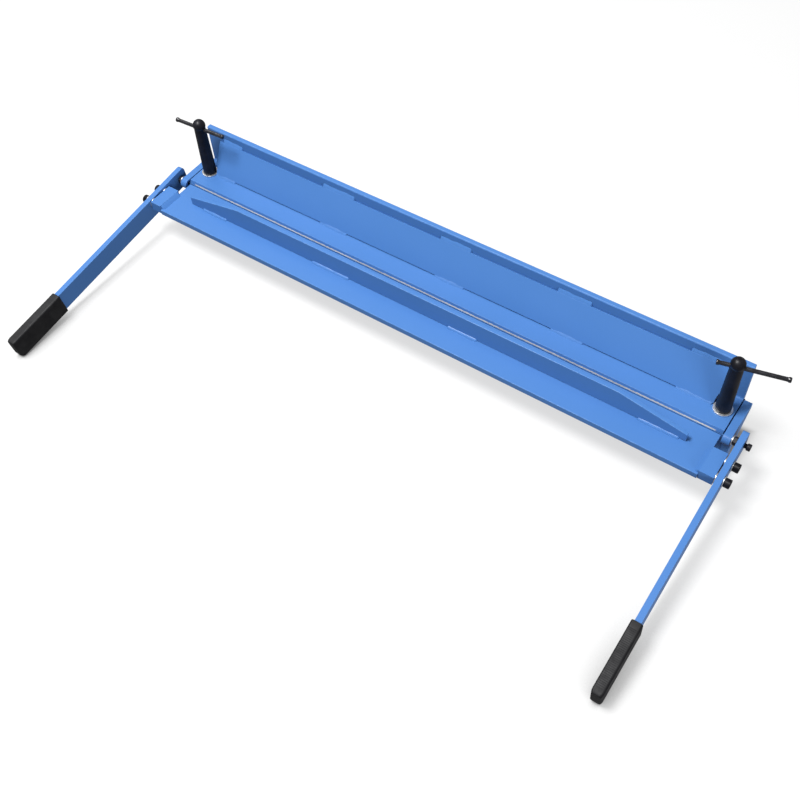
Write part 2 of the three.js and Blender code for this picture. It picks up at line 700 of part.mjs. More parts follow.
function foldingLeaf() {
  const group = new THREE.Group();
  group.add(
    named('leaf_plate', leafPlate(), MATERIALS.paint),
    named('leaf_rib', leafRib(), MATERIALS.paint),
  );
  const pitched = new THREE.Group();
  pitched.rotation.x = THREE.MathUtils.degToRad(ARM_PITCH_DEG);
  for (const { sign, tag } of SIDES) {
    group.add(named(`end_block_${tag}`, endBlock(sign), MATERIALS.paint));
    pitched.add(
      named(`arm_${tag}`, armBar(sign), MATERIALS.paint),
      named(`grip_${tag}`, grip(sign), MATERIALS.rubber),
    );
    for (const [index, place] of ['rear', 'front'].entries()) {
      const y = ARM_SCREW_Y[index];
      const spacerThickness = ARM_INNER_X - BLOCK_OUTER_X - 2 * GAP;
      group.add(
        named(`arm_screw_${place}_${tag}`, armScrew(sign, y), MATERIALS.blackSteel),
        named(
          `screw_washer_${place}_${tag}`,
          ring(sign, SCREW_WASHER_DIAMETER, ARM_SCREW_HOLE_DIAMETER, SCREW_WASHER_FROM_X,
            SCREW_WASHER_THICKNESS, y, ARM_SCREW_Z),
          MATERIALS.zinc,
        ),
        named(
          `arm_spacer_${place}_${tag}`,
          ring(sign, SPACER.diameter, ARM_SCREW_HOLE_DIAMETER, SPACER.fromX, spacerThickness, y,
            ARM_SCREW_Z),
          MATERIALS.zinc,
        ),
      );
    }
  }
  group.add(pitched);
  return group;
}

const bendFrame = new THREE.Group();
bendFrame.position.set(0, -(BED_FRONT_Y + FLANGE_REAR_Y) / 2, -BENCH_Z);
bendFrame.add(baseBody(), clampBeam(), clampPosts(), foldingLeaf());

const sheetMetalBrake = new THREE.Group();
sheetMetalBrake.name = 'sheet_metal_brake';
sheetMetalBrake.add(bendFrame);

export default sheetMetalBrake;
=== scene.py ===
"""Finish, fine shapes and studio of a bench-top sheet metal brake.

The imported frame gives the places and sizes. Lengths are in metres; +X runs along the bend line,
-Y is the operator's side, +Z is up and z = 0 is the bench top.
"""

import json
import math
import random

import bmesh
import bpy
from mathutils import Matrix, Vector

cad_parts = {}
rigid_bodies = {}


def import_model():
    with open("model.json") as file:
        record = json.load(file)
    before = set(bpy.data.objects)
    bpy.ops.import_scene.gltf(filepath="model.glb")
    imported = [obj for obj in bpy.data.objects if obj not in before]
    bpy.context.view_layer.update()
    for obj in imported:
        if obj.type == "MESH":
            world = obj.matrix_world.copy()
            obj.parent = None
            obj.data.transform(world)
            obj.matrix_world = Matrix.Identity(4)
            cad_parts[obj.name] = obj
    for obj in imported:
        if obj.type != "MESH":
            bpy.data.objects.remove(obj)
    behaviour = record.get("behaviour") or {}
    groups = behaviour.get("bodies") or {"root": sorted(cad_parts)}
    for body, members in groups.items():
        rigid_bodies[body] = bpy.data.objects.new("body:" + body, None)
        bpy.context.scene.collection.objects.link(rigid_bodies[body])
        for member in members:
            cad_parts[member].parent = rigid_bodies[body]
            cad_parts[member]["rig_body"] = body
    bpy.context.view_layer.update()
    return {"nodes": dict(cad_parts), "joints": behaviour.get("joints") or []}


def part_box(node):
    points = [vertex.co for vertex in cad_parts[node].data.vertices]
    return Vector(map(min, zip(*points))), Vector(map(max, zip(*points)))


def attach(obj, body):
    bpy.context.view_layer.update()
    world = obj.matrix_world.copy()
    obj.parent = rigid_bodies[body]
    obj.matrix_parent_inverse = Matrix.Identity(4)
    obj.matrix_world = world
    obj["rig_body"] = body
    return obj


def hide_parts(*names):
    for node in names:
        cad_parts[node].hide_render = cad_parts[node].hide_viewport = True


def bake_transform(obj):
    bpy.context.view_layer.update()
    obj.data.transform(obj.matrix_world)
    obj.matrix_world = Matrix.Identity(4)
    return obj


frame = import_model()

MM = 0.001
SIDES = {"left": -1, "right": 1}
NODES = frame["nodes"]
JOINTS = {joint["name"]: joint for joint in frame["joints"]}

# ---------------------------------------------------------------- places taken from the frame

BEND_AXIS = Vector(JOINTS["leaf_fold"]["pos_m"])
JAW_TOP_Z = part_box("end_bracket_left")[1].z
NOSE_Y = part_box("clamp_angle")[0].y
BED_LOW, BED_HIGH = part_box("base_angle")
BEND_Z = BED_HIGH.z
BED_MIDDLE_Y = (BED_LOW.y + BED_HIGH.y) / 2
BED_HALF_WIDTH = (BED_HIGH.y - BED_LOW.y) / 2
BED_HALF_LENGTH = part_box("end_bracket_right")[1].x

# ---------------------------------------------------------------- directions and sizes

UP = Vector((0, 0, 1))
FORWARD = Vector((0, -1, 0))
ARM_PITCH = math.radians(7.13)
ARM_FRAME = Matrix.Translation(BEND_AXIS) @ Matrix.Rotation(ARM_PITCH, 4, "X")
PANEL_TILT = math.radians(61.6)
PANEL_THICKNESS = 4 * MM
GROUND_WIDTH = 0.9 * MM
GROUND_HALF_LENGTH = 452 * MM
PIVOT_BORE = 3.8 * MM  # bores are radii
ARM_SCREW_BORE = 4.4 * MM
STUD_BORE = 6.4 * MM
STUD_NUT_FLATS = 18 * MM
PIVOT_NUT_FLATS = 11 * MM
HALF_SIDE_TURN = math.pi / 6  # half the turn that one side of a hexagon takes up
HEX_CHAMFER = math.radians(30)
HEX_FACE_SHARE = 0.475  # radius where a chamfer meets the end face, as a share of the flats
HEX_CORNER_EASE = 0.997  # a hexagon's corners are eased back to this share of their radius
TIP_RADIUS = 0.3 * MM  # turned shapes close over this small flat
BORE_TIP_RADIUS = 0.4 * MM
STUDIO_MIDDLE = Vector((0, -0.1, 0))
FLOOR_HALF_WIDTH = 8

# ---------------------------------------------------------------- how finely shapes are made

TURN_FACETS = 72
THREAD_FACETS = 36
THREAD_STEPS_PER_PITCH = 5
WIRE_FACETS = 12
WIRE_STEPS_PER_TURN = 40
BALL_STEPS = 22
RIB_STEPS = 8
GRIP_END_STEPS = 10
MERGE_WITHIN = 0.01 * MM
FLAT_WITHIN = math.radians(1)
BEVEL_ABOVE = math.radians(30)
CREASE_ABOVE = math.radians(38)
WORN_EDGE = "worn_edge"
NOISE_LOW = 0.3
NOISE_HIGH = 0.7

# ---------------------------------------------------------------- colours, as linear RGB

PAINT_DEEP = (0.052, 0.147, 0.372, 1)
PAINT_LIGHT = (0.054, 0.150, 0.380, 1)
PAINT_WORN = (0.100, 0.210, 0.430, 1)
STEEL_DARK = (0.42, 0.43, 0.45, 1)
GROUND_DARK = (0.46, 0.45, 0.42, 1)
GROUND_LIGHT = (0.66, 0.64, 0.60, 1)
OXIDE_DARK = (0.003, 0.003, 0.005, 1)
OXIDE_LIGHT = (0.008, 0.008, 0.012, 1)
ZINC_DARK = (0.55, 0.56, 0.58, 1)
ZINC_LIGHT = (0.86, 0.87, 0.88, 1)
RUBBER_DARK = (0.003, 0.003, 0.004, 1)
RUBBER_LIGHT = (0.009, 0.009, 0.010, 1)
FLOOR_COLOUR = (0.20, 0.20, 0.20, 1)
FLOOR_GLOW = 0.67
ROOM_FILL = 0.30
ROOM_WHITE = 0.95
PAINT_SPECULAR = 0.2
WEAR = 0.55


# ---------------------------------------------------------------- material nodes


class Graph:
    """One material's node tree. Each method adds nodes and returns an output socket."""

    def __init__(self, name):
        self.material = bpy.data.materials.new(name)
        self.material.use_nodes = True
        self.tree = self.material.node_tree
        self.tree.nodes.clear()

    def node(self, kind, inputs, **settings):
        made = self.tree.nodes.new("ShaderNode" + kind)
        for key, value in settings.items():
            setattr(made, key, value)
        for key, value in inputs.items():
            if isinstance(value, bpy.types.NodeSocket):
                self.tree.links.new(value, made.inputs[key])
            else:
                made.inputs[key].default_value = value
        return made

    def place(self, stretch=(1, 1, 1)):
        coordinates = self.node("TexCoord", {}).outputs["Object"]
        return self.node("Mapping", {"Vector": coordinates, "Scale": stretch}).outputs["Vector"]

    def noise(self, scale, detail=2.0, stretch=(1, 1, 1)):
        inputs = {"Vector": self.place(stretch), "Scale": scale, "Detail": detail}
        return self.node("TexNoise", inputs).outputs["Fac"]

    def ramp(self, value, low, high, out_low=0.0, out_high=1.0):
        inputs = {"Value": value, "From Min": low, "From Max": high}
        inputs |= {"To Min": out_low, "To Max": out_high}
        return self.node("MapRange", inputs, interpolation_type="SMOOTHSTEP").outputs["Result"]

    def spread(self, noise, out_low=0.0, out_high=1.0):
        """Stretches the range that a noise mostly stays in over out_low to out_high."""
        return self.ramp(noise, NOISE_LOW, NOISE_HIGH, out_low, out_high)

    def math(self, operation, a, b):
        return self.node("Math", {0: a, 1: b}, operation=operation).outputs[0]

    def mix(self, factor, a, b):
        made = self.node("Mix", {0: factor, 6: a, 7: b}, data_type="RGBA")
        return made.outputs[2]

    def bump(self, height, distance, normal=None):
        inputs = {"Height": height, "Distance": distance, "Strength": 1.0}
        if normal is not None:
            inputs["Normal"] = normal
        return self.node("Bump", inputs).outputs["Normal"]

    def finish(self, **inputs):
        named = {key.replace("_", " "): value for key, value in inputs.items()}
        shader = self.node("BsdfPrincipled", named)
        output = self.node("OutputMaterial", {})
        self.tree.links.new(shader.outputs["BSDF"], output.inputs["Surface"])
        return self.material


def worn_edges(graph):
    """Where rounded edges have thinned the coat: 0 on faces, up to 1 along broken stretches of edge."""
    edge = graph.node("Attribute", {}, attribute_name=WORN_EDGE).outputs["Fac"]
    broken = graph.ramp(graph.noise(140, detail=3.0), 0.42, 0.62)
    return graph.math("MULTIPLY", edge, broken)


def paint_colour(graph):
    mottle = graph.spread(graph.noise(11, detail=4.0))
    coat = graph.mix(mottle, PAINT_DEEP, PAINT_LIGHT)
    return graph.mix(graph.math("MULTIPLY", worn_edges(graph), WEAR), coat, PAINT_WORN)


def orange_peel(graph):
    """The coat's fine dimples over its slower runs."""
    dimples = graph.noise(620, detail=1.0)
    runs = graph.noise(70)
    return graph.bump(dimples, 0.02 * MM, normal=graph.bump(runs, 0.01 * MM))


def painted_steel():
    graph = Graph("blue_enamel")
    return graph.finish(
        Base_Color=paint_colour(graph),
        Roughness=graph.spread(graph.noise(38, detail=4.0), 0.345, 0.37),
        Normal=orange_peel(graph),
        Specular_IOR_Level=PAINT_SPECULAR,
    )


def painted_with_bare_nose():
    """Blue enamel, ground back to steel along the working length of the jaw's front edge."""
    graph = Graph("blue_enamel_ground_nose")
    position = graph.node("SeparateXYZ", {"Vector": graph.place()})
    ground_until_y = NOSE_Y + GROUND_WIDTH
    raggedness = 0.7 * MM
    side_fade = 0.3 * MM
    end_fade = 4 * MM
    uneven = graph.noise(260, detail=3.0, stretch=(1, 0.2, 0.2))
    ragged = graph.math("MULTIPLY", uneven, raggedness)
    behind = graph.math("ADD", position.outputs["Y"], ragged)
    from_middle = graph.math("ABSOLUTE", position.outputs["X"], 0.0)
    back_edge = graph.ramp(behind, ground_until_y, ground_until_y + side_fade)
    ends = graph.ramp(from_middle, GROUND_HALF_LENGTH, GROUND_HALF_LENGTH + end_fade)
    painted = graph.math("MAXIMUM", back_edge, ends)
    grinding = graph.noise(900, detail=3.0, stretch=(0.02, 1, 1))
    steel = graph.mix(graph.spread(grinding), GROUND_DARK, GROUND_LIGHT)
    return graph.finish(
        Base_Color=graph.mix(painted, steel, paint_colour(graph)),
        Metallic=graph.ramp(painted, 0.0, 1.0, 0.25, 0.0),
        Roughness=graph.ramp(painted, 0.0, 1.0, 0.5, 0.35),
        Normal=graph.bump(grinding, 0.02 * MM, normal=orange_peel(graph)),
        Specular_IOR_Level=PAINT_SPECULAR,
    )


def black_oxide(name, roughness, specular):
    """Blackened turned steel: fine tool rings round Z and a faint cloudy bloom."""
    graph = Graph(name)
    bloom = graph.ramp(graph.noise(45, detail=4.0), 0.35, 0.7)
    rings = graph.noise(1400, stretch=(0.05, 0.05, 1))
    cloud = graph.noise(90, detail=3.0)
    unevenness = 0.07
    return graph.finish(
        Base_Color=graph.mix(bloom, OXIDE_DARK, OXIDE_LIGHT),
        Roughness=graph.spread(cloud, roughness - unevenness, roughness + unevenness),
        Specular_IOR_Level=specular,
        Normal=graph.bump(rings, 0.02 * MM),
    )


def zinc_plate():
    graph = Graph("zinc_plate")
    cloud = graph.spread(graph.noise(130, detail=4.0))
    return graph.finish(
        Base_Color=graph.mix(cloud, ZINC_DARK, ZINC_LIGHT),
        Metallic=0.9,
        Roughness=graph.spread(graph.noise(210, detail=3.0), 0.24, 0.42),
        Normal=graph.bump(graph.noise(900), 0.01 * MM),
    )


def spring_wire():
    graph = Graph("spring_wire")
    drawn = graph.noise(700, detail=3.0)
    return graph.finish(
        Base_Color=graph.mix(graph.spread(drawn), OXIDE_LIGHT, STEEL_DARK),
        Metallic=0.9,
        Roughness=0.38,
        Normal=graph.bump(drawn, 0.01 * MM),
    )


def moulded_rubber():
    graph = Graph("moulded_rubber")
    scuff = graph.ramp(graph.noise(55, detail=5.0), 0.4, 0.75)
    grain = graph.noise(1100)
    return graph.finish(
        Base_Color=graph.mix(scuff, RUBBER_DARK, RUBBER_LIGHT),
        Roughness=graph.spread(graph.noise(120, detail=3.0), 0.55, 0.68),
        Normal=graph.bump(grain, 0.08 * MM),
        Specular_IOR_Level=0.35,
    )


def studio_floor():
    """An underlit white table: its own glow keeps the shadows pale.

    The glow is turned down under the bed and beneath anything that nearly touches the table: painted
    shadow, from the bed's footprint and from ambient occlusion.
    """
    graph = Graph("studio_floor")
    position = graph.node("SeparateXYZ", {"Vector": graph.place()})
    from_middle = graph.math("ABSOLUTE", position.outputs["X"], 0.0)
    from_bed_line = graph.math("SUBTRACT", position.outputs["Y"], BED_MIDDLE_Y)
    from_bed = graph.math("ABSOLUTE", from_bed_line, 0.0)
    glow_in_painted_shade = 0.1
    shade_reach = 50 * MM
    # painted shadow under the bed: the glow drops to its least inside the bed's footprint
    beside = graph.ramp(from_middle, BED_HALF_LENGTH - 10 * MM, BED_HALF_LENGTH + 25 * MM)
    apart = graph.ramp(from_bed, BED_HALF_WIDTH - 5 * MM, BED_HALF_WIDTH + 20 * MM)
    clear = graph.ramp(graph.math("MAXIMUM", beside, apart), 0.0, 1.0, glow_in_painted_shade, 1.0)
    # painted contact shadow: the glow drops where ambient occlusion finds something close above the
    # floor
    openness_for_painted_shade = graph.node("AmbientOcclusion", {"Distance": shade_reach}, samples=8).outputs["AO"]
    glow = graph.ramp(openness_for_painted_shade, 0.2, 0.95, glow_in_painted_shade, FLOOR_GLOW)
    return graph.finish(
        Base_Color=FLOOR_COLOUR,
        Roughness=graph.spread(graph.noise(3), 0.85, 0.95),
        Emission_Color=(1, 1, 1, 1),
        Emission_Strength=graph.math("MULTIPLY", glow, clear),
    )


PAINT = painted_steel()
PAINT_BARE_NOSE = painted_with_bare_nose()
OXIDE = black_oxide("black_oxide", 0.39, 0.22)
OXIDE_RUBBED = black_oxide("rubbed_black_oxide", 0.22, 0.9)
ZINC = zinc_plate()
SPRING = spring_wire()
RUBBER = moulded_rubber()

# ---------------------------------------------------------------- mesh helpers


def add_piece(name, bm, material, body=None, replaces=None, stretch=None):
    """Turns a bmesh, already in place, into a piece that rides on a body or stands for a CAD node.

    A stretch leaves it unattached, with its placing baked into the mesh; the bodies and ends in the
    stretch are not used.
    """
    bmesh.ops.recalc_face_normals(bm, faces=bm.faces)
    mesh = bpy.data.meshes.new(name)
    bm.to_mesh(mesh)
    bm.free()
    mesh.shade_smooth()
    mesh.set_sharp_from_angle(angle=CREASE_ABOVE)
    mesh.materials.append(material)
    piece = bpy.data.objects.new(name, mesh)
    bpy.context.scene.collection.objects.link(piece)
    shading = piece.modifiers.new("even_shading", "WEIGHTED_NORMAL")
    shading.keep_sharp = True
    if stretch:
        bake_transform(piece)
    else:
        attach(piece, body or NODES[replaces]["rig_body"])
    if replaces:
        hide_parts(replaces)
    return piece


def loft(rings, closed=False):
    """A skin through rings of equally many points, with capped ends or joined into a loop."""
    bm = bmesh.new()
    made = [[bm.verts.new(point) for point in ring] for ring in rings]
    following = made[1:] + made[:1] if closed else made[1:]
    for low, high in zip(made, following):
        for i, start in enumerate(low):
            j = (i + 1) % len(low)
            bm.faces.new((start, low[j], high[j], high[i]))
    if not closed:
        bm.faces.new(made[0])
        bm.faces.new(made[-1])
    return bm


def circle(radius, z):
    turns = [2 * math.pi * i / TURN_FACETS for i in range(TURN_FACETS)]
    return [Vector((radius * math.cos(t), radius * math.sin(t), z)) for t in turns]


def hexagon(flats, z, cap_radius):
    """A hexagon ring whose corners are cut back to cap_radius, as a chamfered bolt head's are."""
    ring = []
    for i in range(TURN_FACETS):
        turn = 2 * math.pi * i / TURN_FACETS
        from_flat = (turn + HALF_SIDE_TURN) % (2 * HALF_SIDE_TURN) - HALF_SIDE_TURN
        radius = min(flats / 2 / math.cos(from_flat), cap_radius)
        ring.append(Vector((radius * math.cos(turn), radius * math.sin(turn), z)))
    return ring


def hex_stack(flats, z0, z1, steps=6):
    """Rings up a hexagonal prism with 30 degree chamfers on both ends."""
    corner = flats / 2 / math.cos(HALF_SIDE_TURN)
    face_radius = HEX_FACE_SHARE * flats
    depth = (corner - face_radius) * math.tan(HEX_CHAMFER)
    rings = []
    for i in range(steps + 1):
        rise = depth * i / steps
        cap = face_radius + rise / math.tan(HEX_CHAMFER)
        rings.append(hexagon(flats, z0 + rise, cap * HEX_CORNER_EASE))
    upper = [[Vector((p.x, p.y, z0 + z1 - p.z)) for p in ring] for ring in reversed(rings)]
    return rings + upper


def rounded_turning(corners, radius, steps=4):
    """Circle rings through (radius, z) corners, each corner rounded off by the given radius.

    Near a short side the rounding shrinks, so that two neighbours never meet.
    """
    side_share = 2.2
    points = [Vector(corner) for corner in corners]
    rings = [circle(points[0].x, points[0].y)]
    for before, here, after in zip(points, points[1:], points[2:]):
        back = before - here
        on = after - here
        reach = min(radius, back.length / side_share, on.length / side_share)
        for i in range(steps + 1):
            t = i / steps
            point = here + back.normalized() * reach * (1 - t) ** 2
            point += on.normalized() * reach * t**2
            rings.append(circle(point.x, point.y))
    rings.append(circle(points[-1].x, points[-1].y))
    return rings


def axis_frame(centre, direction):
    """Matrix that carries a shape built about local Z to a centre and a direction."""
    return Matrix.Translation(centre) @ direction.to_track_quat("Z", "Y").to_matrix().to_4x4()


def rounded(node, radius, material=PAINT, steps=3):
    """Stands for a CAD node: the same solid with its sharp edges rounded off."""
    bm = bmesh.new()
    bm.from_mesh(NODES[node].data)
    bmesh.ops.remove_doubles(bm, verts=bm.verts, dist=MERGE_WITHIN)
    bmesh.ops.dissolve_limit(bm, angle_limit=FLAT_WITHIN, verts=bm.verts, edges=bm.edges)
    worn = bm.faces.layers.float.new(WORN_EDGE)
    sharp = [e for e in bm.edges if e.is_manifold and e.calc_face_angle() > BEVEL_ABOVE]
    made = bmesh.ops.bevel(
        bm, geom=sharp, offset=radius, segments=steps, profile=0.5, affect="EDGES",
        clamp_overlap=True,
    )
    for face in made["faces"]:
        face[worn] = 1.0
    add_piece(node + "_steel", bm, material, replaces=node)


def box_in(node, place):
    """Lowest and highest corner of a CAD node in a local frame given by its matrix."""
    inverse = place.inverted()
    points = [inverse @ v.co for v in NODES[node].data.vertices]
    low = Vector(min(p[i] for p in points) for i in range(3))
    high = Vector(max(p[i] for p in points) for i in range(3))
    return low, high


def drill(piece, diameter, centre, direction, length):
    """Cuts a round hole through a piece."""
    cutter_mesh = bpy.data.meshes.new("drill")
    bm = loft([circle(diameter / 2, -length / 2), circle(diameter / 2, length / 2)])
    bm.transform(axis_frame(centre, direction))
    bmesh.ops.recalc_face_normals(bm, faces=bm.faces)
    bm.to_mesh(cutter_mesh)
    bm.free()
    cutter = bpy.data.objects.new("drill", cutter_mesh)
    bpy.context.scene.collection.objects.link(cutter)
    hole = piece.modifiers.new("hole", "BOOLEAN")
    hole.object = cutter
    hole.solver = "EXACT"
    bpy.context.view_layer.update()
    evaluated = piece.evaluated_get(bpy.context.evaluated_depsgraph_get())
    drilled = bpy.data.meshes.new_from_object(evaluated)
    piece.modifiers.remove(hole)
    piece.data = drilled
    bpy.data.objects.remove(cutter)


# ---------------------------------------------------------------- welds

BEAD_STEP = 0.42 * MM
BEAD_LEAST_STEPS = 24
BEAD_FACETS = 10
BEAD_END = 2.6 * MM  # length over which a bead tapers off
BEAD_TIP = 0.06  # size left at its very tip, as a share
BEAD_ROOT = 0.05 * MM
BEAD_CROWN = 0.55
BEAD_RIPPLE = 0.045
RIPPLE_PITCH = 2.3 * MM
RIPPLE_BEND = 1.6  # how far a ripple trails at the bead's toes, in pitches
SLOW_WANDER = 3 * RIPPLE_PITCH
SLOW_WEIGHT = 1.5
QUICK_WANDER = 1.3 * RIPPLE_PITCH


def weld_bead(name, body, start, end, legs, size, crown=BEAD_CROWN, ripple=BEAD_RIPPLE):
    """A fillet bead along a corner line, with crescent ripples and rounded ends.

    The legs point along the two joined faces, and a shorter one gives that side of the bead a
    shorter reach. A crown of 0 leaves a flat face and a ripple of 0 a dressed one.
    """
    rng = random.Random(name)
    phases = [rng.uniform(0, 2 * math.pi) for _ in range(3)]
    leg_a, leg_b = legs
    length = (end - start).length
    count = max(BEAD_LEAST_STEPS, round(length / BEAD_STEP))
    rings = []
    for k in range(count + 1):
        along = length * k / count
        from_end = min(along, length - along, BEAD_END) / BEAD_END
        taper = BEAD_TIP + (1 - BEAD_TIP) * math.sqrt(max(0.0, 1 - (1 - from_end) ** 2))
        slow = math.sin(along / SLOW_WANDER + phases[0])
        quick = math.sin(along / QUICK_WANDER + phases[1])
        width = size * taper * (1 + ripple * (SLOW_WEIGHT * slow + quick))
        root = start.lerp(end, k / count)
        ring = [root - (leg_a + leg_b) * BEAD_ROOT]
        for i in range(BEAD_FACETS + 1):
            turn = math.pi / 2 * i / BEAD_FACETS
            flat = 1 / (math.cos(turn) + math.sin(turn))
            bulge = flat + (1 - flat) * crown
            crescent = RIPPLE_BEND * (i / BEAD_FACETS - 0.5) ** 2
            wave = math.cos(2 * math.pi * (along / RIPPLE_PITCH + crescent) + phases[2])
            reach = width * bulge * (1 + ripple * wave * math.sin(2 * turn))
            ring.append(root + (leg_a * math.cos(turn) + leg_b * math.sin(turn)) * reach)
        rings.append(ring)
    add_piece(name, loft(rings), PAINT, body=body)


def weld_row(prefix, body, spans, corner, legs, size, crown=BEAD_CROWN):
    """Stitch welds along X: spans are (from, to) pairs in millimetres along the bend line."""
    for index, (low_x, high_x) in enumerate(spans, start=1):
        start = Vector((low_x * MM, corner.y, corner.z))
        end = Vector((high_x * MM, corner.y, corner.z))
        weld_bead(f"{prefix}_{index}", body, start, end, legs, size, crown)


def panel_welds():
    """Stitch welds that hold the stiffener panel to the jaw below and to the wall above."""
    foot_spans = [(-436, -394), (-222, -169), (-8, 44), (188, 241), (380, 434)]
    rim_spans = [(-432, -392), (-231, -170), (-15, 39), (180, 234), (381, 428)]
    panel_low, panel_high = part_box("stiffener_panel")

    # the foot bead fills the open corner under the plate's square-cut edge
    foot_size = 4.6 * MM
    foot_depth = 1.9 * MM
    steeper = 0.3
    foot = Vector((0, panel_low.y + foot_depth, JAW_TOP_Z))
    up_panel = Vector((0, math.cos(PANEL_TILT), math.sin(PANEL_TILT) + steeper)).normalized()
    weld_row("panel_foot_weld", "clamp_beam", foot_spans, foot, (FORWARD, up_panel), foot_size)

    # the rim bead carries the panel's face on, up to the wall
    rim_size = 7 * MM
    below_face = 0.3 * MM
    edge_rise = PANEL_THICKNESS * math.cos(PANEL_TILT)
    rim = Vector((0, panel_high.y, panel_high.z - edge_rise))
    across_edge = Vector((0, -math.sin(PANEL_TILT), math.cos(PANEL_TILT)))
    to_face = across_edge * (PANEL_THICKNESS - below_face) / rim_size
    weld_row("panel_rim_weld", "clamp_beam", rim_spans, rim, (to_face, UP), rim_size, crown=0.1)


def rib_welds():
    """Stitch welds along both sides of the leaf's rib."""
    spans = [(-405, -355), (-185, -115), (60, 110), (360, 420)]
    size = 3.2 * MM
    rib_low, rib_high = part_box("leaf_rib")
    for face, y, out in (("front", rib_low.y, FORWARD), ("rear", rib_high.y, -FORWARD)):
        foot = Vector((0, y, BEND_Z))
        weld_row(f"rib_{face}_weld", "folding_leaf", spans, foot, (out, UP), size)


def outward(side):
    return Vector((SIDES[side], 0, 0))


def facing_inward(low, high, side):
    """The x of a piece's face that looks to the middle of the machine, and that face's direction."""
    x = high.x if side == "left" else low.x
    return x, -outward(side)


def block_welds():
    """A long fillet, dressed smooth, where each end block stands above the leaf plate."""
    short_of_ends = 1.5 * MM
    below_top = 0.4 * MM
    for side in SIDES:
        low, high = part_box(f"end_block_{side}")
        x, inward = facing_inward(low, high, side)
        start = Vector((x, low.y + short_of_ends, BEND_Z))
        end = Vector((x, high.y - short_of_ends, BEND_Z))
        height = high.z - BEND_Z - below_top
        weld_bead(f"block_weld_{side}", "folding_leaf", start, end, (inward, UP), height,
                  crown=0.1, ripple=0.0)


def base_welds():
    """Beads behind the front flange: brackets to the flange, gussets to the bed."""
    bracket_span = (8 * MM, 30 * MM)
    bracket_size = 4 * MM
    gusset_span = (14 * MM, 36 * MM)
    gusset_size = 3.4 * MM
    gap = 0.3 * MM
    for side in SIDES:
        gusset_low, gusset_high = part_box(f"foot_gusset_{side}")
        flange_y = gusset_low.y - gap
        bed_z = gusset_high.z + gap
        x, inward = facing_inward(*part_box(f"end_bracket_{side}"), side)
        start, end = (Vector((x, flange_y, z)) for z in bracket_span)
        legs = (inward, -FORWARD)
        weld_bead(f"bracket_weld_{side}", "base", start, end, legs, bracket_size)
        for face, x, sign in (("low_x", gusset_low.x, -1), ("high_x", gusset_high.x, 1)):
            start, end = (Vector((x, flange_y + y, bed_z)) for y in gusset_span)
            legs = (Vector((sign, 0, 0)), -UP)
            weld_bead(f"gusset_weld_{face}_{side}", "base", start, end, legs, gusset_size)


# ---------------------------------------------------------------- plates and angles


def steelwork():
    rounded("base_angle", 0.5 * MM)
    rounded("clamp_angle", 0.35 * MM, PAINT_BARE_NOSE)
    rounded("stiffener_panel", 0.45 * MM)
    rounded("leaf_plate", 0.7 * MM)
    rounded("leaf_rib", 0.8 * MM)
    for side in SIDES:
        rounded(f"end_bracket_{side}", 0.7 * MM)
        rounded(f"bench_foot_{side}", 0.6 * MM)
        rounded(f"foot_gusset_{side}", 0.6 * MM)
        rounded(f"end_block_{side}", 1.0 * MM)
        rounded(f"arm_{side}", 0.9 * MM)


# ---------------------------------------------------------------- clamp posts


def clamp_post(side):
    """Tapered nut with a ball head: blind bore, foot, long taper, neck and ball in one turning."""
    node = f"clamp_nut_{side}"
    low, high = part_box(node)
    centre = (low + high) / 2
    foot_radius = (high.x - low.x) / 2
    foot_height = 5 * MM
    ball_radius = 10 * MM
    neck_radius = 9.1 * MM
    neck_gap = 0.6 * MM
    bore_radius = 6.3 * MM
    bore_depth = 49 * MM
    bore_point = 52 * MM
    chamfer = 0.8 * MM
    height = high.z - low.z
    ball_z = height - ball_radius
    drop = math.acos(neck_radius / ball_radius)
    neck_z = ball_z - ball_radius * math.sin(drop)
    corners = [
        (BORE_TIP_RADIUS, bore_point), (bore_radius, bore_depth), (bore_radius, chamfer),
        (bore_radius + chamfer, 0), (foot_radius, 0), (foot_radius, foot_height),
        (neck_radius, neck_z - neck_gap),
    ]
    rings = rounded_turning(corners, radius=0.8 * MM)
    for i in range(BALL_STEPS):
        rise = -drop + (math.pi / 2 + drop) * i / BALL_STEPS
        rings.append(circle(ball_radius * math.cos(rise), ball_z + ball_radius * math.sin(rise)))
    rings.append(circle(TIP_RADIUS, height))
    bm = loft(rings)
    bm.transform(Matrix.Translation((centre.x, centre.y, low.z)))
    post = add_piece(f"clamp_post_{side}", bm, OXIDE, replaces=node)
    bar_direction = Vector(JOINTS[f"tommy_slide_{side}"]["axis"])
    bar_z = sum(corner.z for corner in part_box(f"tommy_bar_{side}")) / 2
    bar_hole = 6.8 * MM
    right_through = 40 * MM
    drill(post, bar_hole, Vector((centre.x, centre.y, bar_z)), bar_direction, right_through)


def tommy_bar(side):
    """Sliding bar with upset, rounded ends."""
    node = f"tommy_bar_{side}"
    low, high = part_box(node)
    direction = Vector(JOINTS[f"tommy_slide_{side}"]["axis"])
    half = 46.5 * MM
    shank = 3.0 * MM
    knob = 3.75 * MM
    knob_from = half - 4.4 * MM
    knob_full = half - 3.1 * MM
    upper = [(shank, knob_from), (knob, knob_full), (knob, half), (TIP_RADIUS, half)]
    corners = [(radius, -z) for radius, z in reversed(upper)] + upper
    bm = loft(rounded_turning(corners, radius=1.3 * MM))
    bm.transform(axis_frame((low + high) / 2, direction))
    add_piece(f"tommy_rod_{side}", bm, OXIDE_RUBBED, replaces=node)


